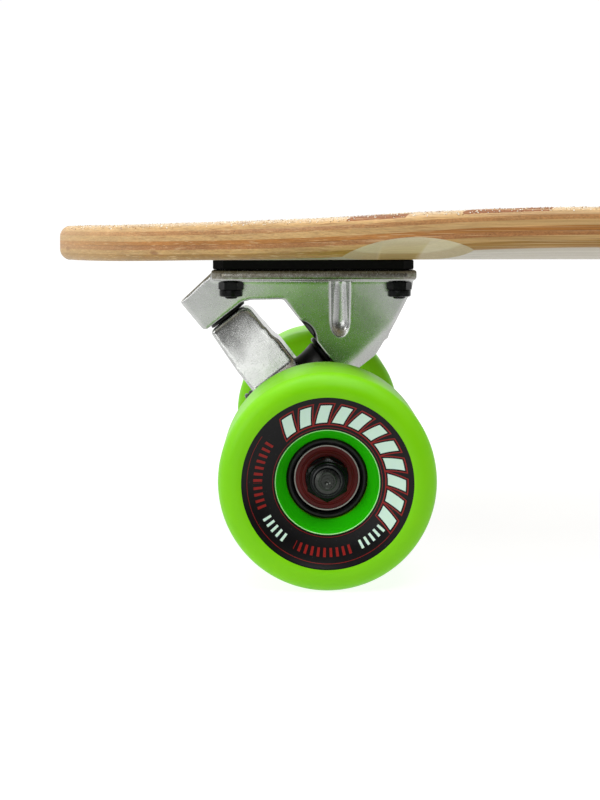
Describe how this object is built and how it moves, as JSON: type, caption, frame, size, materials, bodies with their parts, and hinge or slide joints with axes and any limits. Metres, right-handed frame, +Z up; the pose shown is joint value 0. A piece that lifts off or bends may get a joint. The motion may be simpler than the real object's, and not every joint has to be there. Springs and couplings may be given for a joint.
{
  "type": "skateboard",
  "caption": "Longboard skateboard: long flat deck with rounded ends, spring-steered outboard-pivot trucks and wide soft urethane wheels that spin on ball bearings.",
  "frame": {"origin": "on the floor under the middle of the deck, centred between the four wheels", "axes": "+X from the nose to the tail along the deck, +Y to the far side across the deck, +Z up"},
  "size_m": [1.016, 0.257, 0.1226],
  "materials": {
    "bamboo_laminate": "satin clear coat over bamboo and maple plies, clear grit on top",
    "riser_rubber": "matt black rubber",
    "cast_metal": "tumbled and lightly polished casting",
    "black_steel": "black oxide steel",
    "bright_steel": "zinc plated steel",
    "black_urethane": "cast black urethane",
    "green_urethane": "lime green cast urethane with a printed black face ring",
    "black_plastic": "moulded black plastic",
    "bearing_shield": "dark red seal in ground steel races"
  },
  "bodies": {
    "board": {"deck": "bamboo_laminate", "nose_riser_pad": "riser_rubber", "nose_baseplate": "cast_metal", "nose_deck_bolt_1": "black_steel", "nose_deck_lock_nut_1": "black_steel", "nose_deck_bolt_2": "black_steel", "nose_deck_lock_nut_2": "black_steel", "nose_deck_bolt_3": "black_steel", "nose_deck_lock_nut_3": "black_steel", "nose_deck_bolt_4": "black_steel", "nose_deck_lock_nut_4": "black_steel", "nose_kingpin": "bright_steel", "nose_bushing_washer_boardside": "black_steel", "nose_bushing_boardside": "black_urethane", "nose_bushing_washer_roadside": "black_steel", "nose_bushing_roadside": "black_urethane", "nose_kingpin_lock_nut": "black_steel", "nose_pivot_cup": "black_urethane", "tail_riser_pad": "riser_rubber", "tail_baseplate": "cast_metal", "tail_deck_bolt_1": "black_steel", "tail_deck_lock_nut_1": "black_steel", "tail_deck_bolt_2": "black_steel", "tail_deck_lock_nut_2": "black_steel", "tail_deck_bolt_3": "black_steel", "tail_deck_lock_nut_3": "black_steel", "tail_deck_bolt_4": "black_steel", "tail_deck_lock_nut_4": "black_steel", "tail_kingpin": "bright_steel", "tail_bushing_washer_boardside": "black_steel", "tail_bushing_boardside": "black_urethane", "tail_bushing_washer_roadside": "black_steel", "tail_bushing_roadside": "black_urethane", "tail_kingpin_lock_nut": "black_steel", "tail_pivot_cup": "black_urethane"},
    "nose_hanger": {"nose_hanger": "cast_metal", "nose_axle": "bright_steel", "nose_near_axle_nut": "black_steel", "nose_far_axle_nut": "black_steel"},
    "tail_hanger": {"tail_hanger": "cast_metal", "tail_axle": "bright_steel", "tail_near_axle_nut": "black_steel", "tail_far_axle_nut": "black_steel"},
    "nose_near_wheel": {"nose_near_tyre": "green_urethane", "nose_near_wheel_core": "black_plastic", "nose_near_bearing_inner": "bearing_shield", "nose_near_bearing_outer": "bearing_shield"},
    "nose_far_wheel": {"nose_far_tyre": "green_urethane", "nose_far_wheel_core": "black_plastic", "nose_far_bearing_inner": "bearing_shield", "nose_far_bearing_outer": "bearing_shield"},
    "tail_near_wheel": {"tail_near_tyre": "green_urethane", "tail_near_wheel_core": "black_plastic", "tail_near_bearing_inner": "bearing_shield", "tail_near_bearing_outer": "bearing_shield"},
    "tail_far_wheel": {"tail_far_tyre": "green_urethane", "tail_far_wheel_core": "black_plastic", "tail_far_bearing_inner": "bearing_shield", "tail_far_bearing_outer": "bearing_shield"}
  },
  "joints": [
    {"name": "nose_steer", "type": "hinge", "parent": "board", "child": "nose_hanger", "pos_m": [-0.4065, 0, 0.035], "axis": [0.6157, 0, -0.788], "range_deg": [-12.5, 12.5], "stiffness_Nm_per_rad": 60, "deforming": ["nose_bushing_boardside", "nose_bushing_roadside"]},
    {"name": "tail_steer", "type": "hinge", "parent": "board", "child": "tail_hanger", "pos_m": [0.4065, 0, 0.035], "axis": [-0.6157, 0, -0.788], "range_deg": [-12.5, 12.5], "stiffness_Nm_per_rad": 60, "deforming": ["tail_bushing_boardside", "tail_bushing_roadside"]},
    {"name": "nose_near_wheel_spin", "type": "hinge", "parent": "nose_hanger", "child": "nose_near_wheel", "pos_m": [-0.4065, -0.103, 0.035], "axis": [0, 1, 0], "continuous": true},
    {"name": "nose_far_wheel_spin", "type": "hinge", "parent": "nose_hanger", "child": "nose_far_wheel", "pos_m": [-0.4065, 0.103, 0.035], "axis": [0, 1, 0], "continuous": true},
    {"name": "tail_near_wheel_spin", "type": "hinge", "parent": "tail_hanger", "child": "tail_near_wheel", "pos_m": [0.4065, -0.103, 0.035], "axis": [0, 1, 0], "continuous": true},
    {"name": "tail_far_wheel_spin", "type": "hinge", "parent": "tail_hanger", "child": "tail_far_wheel", "pos_m": [0.4065, 0.103, 0.035], "axis": [0, 1, 0], "continuous": true}
  ]
}
